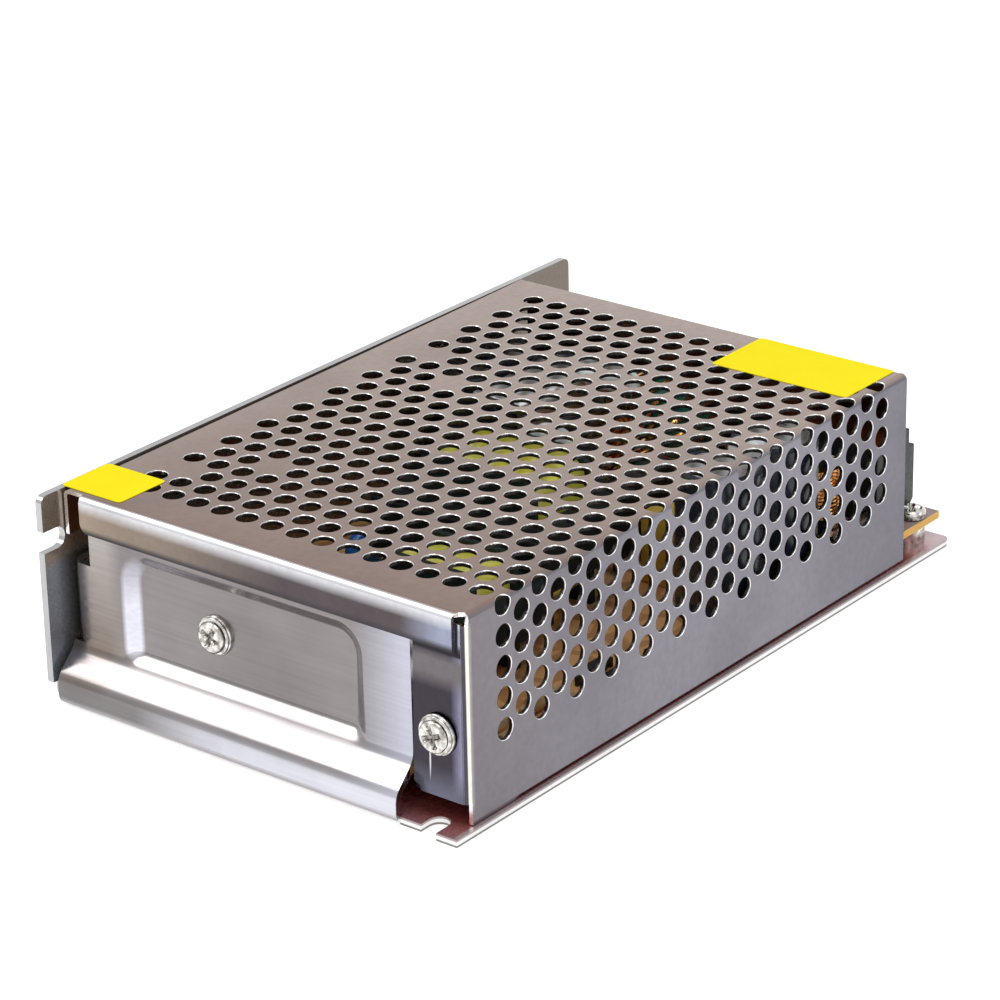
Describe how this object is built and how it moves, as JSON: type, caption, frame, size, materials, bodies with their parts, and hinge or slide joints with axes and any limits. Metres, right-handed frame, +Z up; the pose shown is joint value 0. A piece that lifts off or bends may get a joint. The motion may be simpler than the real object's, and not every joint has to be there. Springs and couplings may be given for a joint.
{
  "type": "power supply",
  "caption": "Enclosed power supply with a folded metal chassis, a perforated cover, an open board and a screw terminal block at one end.",
  "frame": {"origin": "centre of the case's underside", "axes": "+X along the case towards the terminals, +Y towards the chassis's long wall, +Z up through the cover"},
  "size_m": [0.16, 0.098, 0.0421],
  "materials": {
    "chassis_metal": "satin, brushed along the end plate",
    "cover_metal": "satin zinc grey",
    "screw_metal": "bright nickel",
    "sticker_yellow": "satin printed film",
    "board_laminate": "matt laminate",
    "block_plastic": "matt moulded",
    "trimmer_body": "moulded",
    "trimmer_disc": "moulded",
    "lamp_lens": "clear moulded",
    "fuse_glass": "clear",
    "cap_sleeve": "shrunk sleeve",
    "copper_wire": "enamelled copper",
    "ferrite": "matt sintered",
    "choke_core_paint": "painted powder core",
    "tape_yellow": "wound film tape",
    "bobbin_plastic": "moulded",
    "sink_metal": "satin",
    "package_black": "moulded epoxy",
    "pad_grey": "silicone pad",
    "disc_blue": "dipped",
    "disc_green": "dipped",
    "film_yellow": "moulded case",
    "resistor_tan": "lacquered"
  },
  "bodies": {
    "root": {"chassis": "chassis_metal", "cover": "cover_metal", "cover_screw": "screw_metal", "wall_screws": "screw_metal", "clamp_screw": "screw_metal", "small_sticker": "sticker_yellow", "large_sticker": "sticker_yellow", "circuit_board": "board_laminate", "board_standoffs": "screw_metal", "board_screws": "screw_metal", "terminal_block": "block_plastic", "terminal_plates": "screw_metal", "terminal_screws": "screw_metal", "trimmer_base": "trimmer_body", "indicator_lamp": "lamp_lens", "fuse_tube": "fuse_glass", "fuse_caps": "screw_metal", "fuse_clips": "screw_metal", "varistor": "disc_blue", "thermistor": "disc_green", "film_capacitor": "film_yellow", "line_choke_core": "ferrite", "line_choke_windings": "copper_wire", "line_choke_base": "bobbin_plastic", "bridge_rectifier": "package_black", "bulk_capacitors": "cap_sleeve", "switching_transistors": "package_black", "transistor_pad": "pad_grey", "clamp_bar": "sink_metal", "main_core": "ferrite", "main_bobbin": "bobbin_plastic", "main_winding": "tape_yellow", "driver_core": "ferrite", "driver_bobbin": "bobbin_plastic", "driver_winding": "tape_yellow", "heatsink": "sink_metal", "output_rectifier": "package_black", "choke_core": "choke_core_paint", "choke_winding": "copper_wire", "output_capacitors": "cap_sleeve", "control_chip": "package_black", "small_capacitors": "cap_sleeve", "disc_capacitor": "disc_blue", "resistors": "resistor_tan", "diodes": "package_black", "jumpers": "screw_metal"},
    "trimmer": {"trimmer_rotor": "trimmer_disc"}
  },
  "joints": [
    {"name": "trimmer_turn", "type": "hinge", "parent": "root", "child": "trimmer", "pos_m": [0.0744, 0.0346, 0.0115], "axis": [0, 0, 1], "range_deg": [-135, 135]}
  ]
}
